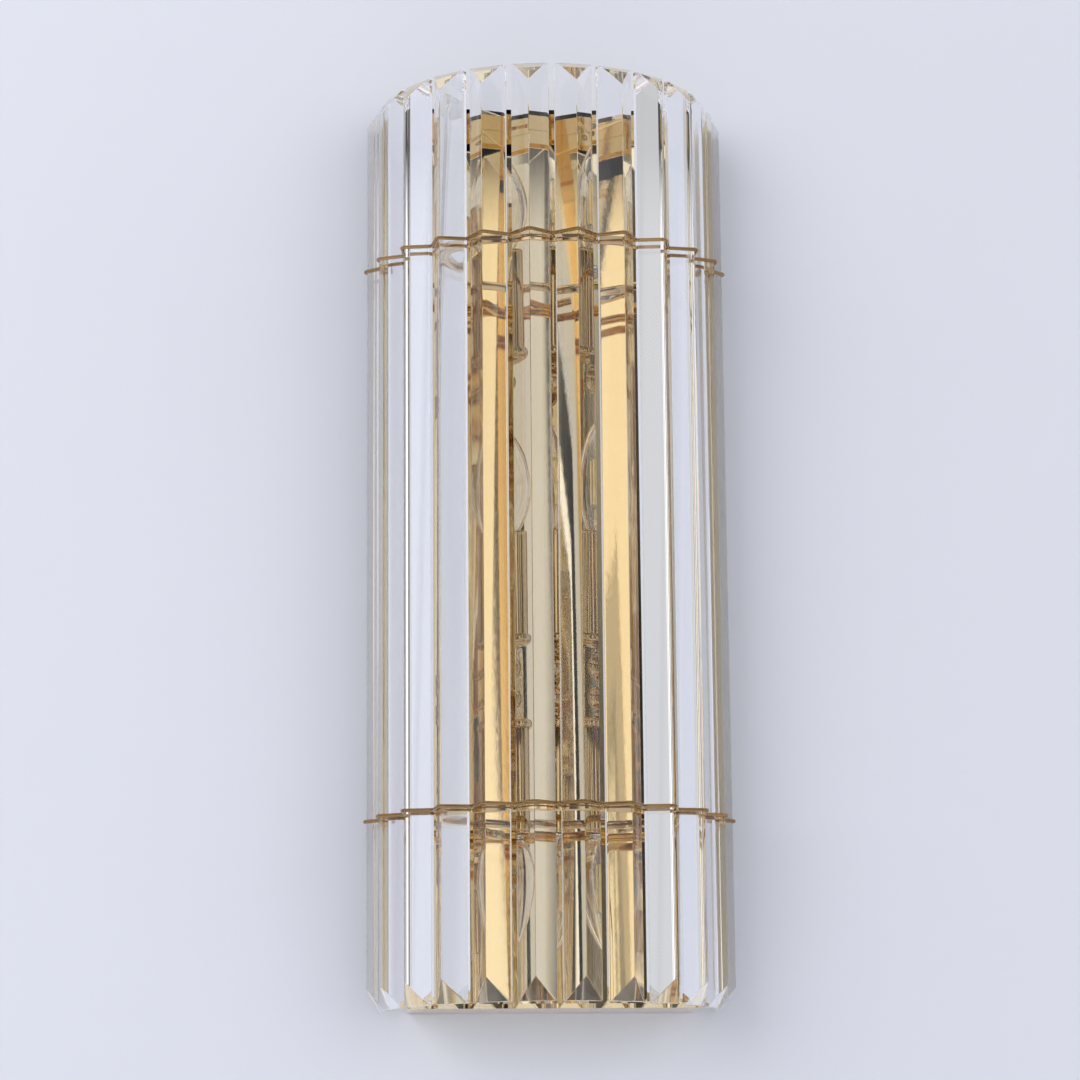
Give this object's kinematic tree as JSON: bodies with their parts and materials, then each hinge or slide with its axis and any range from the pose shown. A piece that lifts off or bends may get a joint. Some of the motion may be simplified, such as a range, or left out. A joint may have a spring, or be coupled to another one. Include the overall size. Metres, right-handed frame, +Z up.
{
  "type": "wall sconce",
  "caption": "Half-round wall sconce of upright crystal bars held by gold wires, with candle lamps before a mirror-polished housing.",
  "frame": {"origin": "on the wall plane, at the middle of the wall bracket's screw pattern and of its cable hole", "axes": "+Z up, +Y into the wall, +X to the right as seen from the room"},
  "size_m": [0.2424, 0.1212, 0.606],
  "materials": {
    "crystal": "clear polished",
    "gold_wire": "polished",
    "gold_frame": "polished",
    "gold_sheet": "mirror polished",
    "gold_lamp": "polished",
    "zinc_steel": "zinc plated",
    "gold_screw": "polished",
    "nylon": "moulded",
    "rubber": "moulded",
    "holder_plastic": "moulded",
    "bulb_glass": "clear",
    "bulb_cap": "nickel-plated thread",
    "filament": "phosphor coated"
  },
  "bodies": {
    "body": {"arm_ball_lower": "gold_lamp", "arm_ball_middle": "gold_lamp", "arm_ball_upper": "gold_lamp", "arm_lower": "gold_lamp", "arm_middle": "gold_lamp", "arm_nuts": "zinc_steel", "arm_upper": "gold_lamp", "bracket_studs": "zinc_steel", "cable_grommet": "rubber", "candle_collar_lower": "gold_lamp", "candle_collar_middle": "gold_lamp", "candle_collar_upper": "gold_lamp", "candle_sleeve_lower": "gold_lamp", "candle_sleeve_middle": "gold_lamp", "candle_sleeve_upper": "gold_lamp", "cap_nuts": "gold_screw", "chord_bar_lower": "gold_frame", "chord_bar_upper": "gold_frame", "crystal_bar_01": "crystal", "crystal_bar_02": "crystal", "crystal_bar_03": "crystal", "crystal_bar_04": "crystal", "crystal_bar_05": "crystal", "crystal_bar_06": "crystal", "crystal_bar_07": "crystal", "crystal_bar_08": "crystal", "crystal_bar_09": "crystal", "crystal_bar_10": "crystal", "crystal_bar_11": "crystal", "crystal_bar_12": "crystal", "earth_screw": "zinc_steel", "front_wire_lower": "gold_wire", "front_wire_upper": "gold_wire", "half_ring_lower": "gold_frame", "half_ring_upper": "gold_frame", "housing_band": "gold_sheet", "lamp_nipple_lower": "gold_lamp", "lamp_nipple_middle": "gold_lamp", "lamp_nipple_upper": "gold_lamp", "lampholder_lower": "holder_plastic", "lampholder_middle": "holder_plastic", "lampholder_upper": "holder_plastic", "mirror_panel": "gold_sheet", "panel_screws": "gold_screw", "ring_screws": "gold_screw", "terminal_block": "nylon", "wall_bracket": "zinc_steel"},
    "bulb_upper": {"bulb_cap_upper": "bulb_cap", "bulb_glass_upper": "bulb_glass", "bulb_filament_upper": "filament"},
    "bulb_middle": {"bulb_cap_middle": "bulb_cap", "bulb_glass_middle": "bulb_glass", "bulb_filament_middle": "filament"},
    "bulb_lower": {"bulb_cap_lower": "bulb_cap", "bulb_glass_lower": "bulb_glass", "bulb_filament_lower": "filament"}
  },
  "joints": [
    {"name": "bulb_upper_slide", "type": "slide", "parent": "body", "child": "bulb_upper", "axis": [0, 0, 1], "range_m": [0, 0.026]},
    {"name": "bulb_middle_slide", "type": "slide", "parent": "body", "child": "bulb_middle", "axis": [0, 0, 1], "range_m": [0, 0.017]},
    {"name": "bulb_lower_slide", "type": "slide", "parent": "body", "child": "bulb_lower", "axis": [0, 0, -1], "range_m": [0, 0.026]}
  ]
}
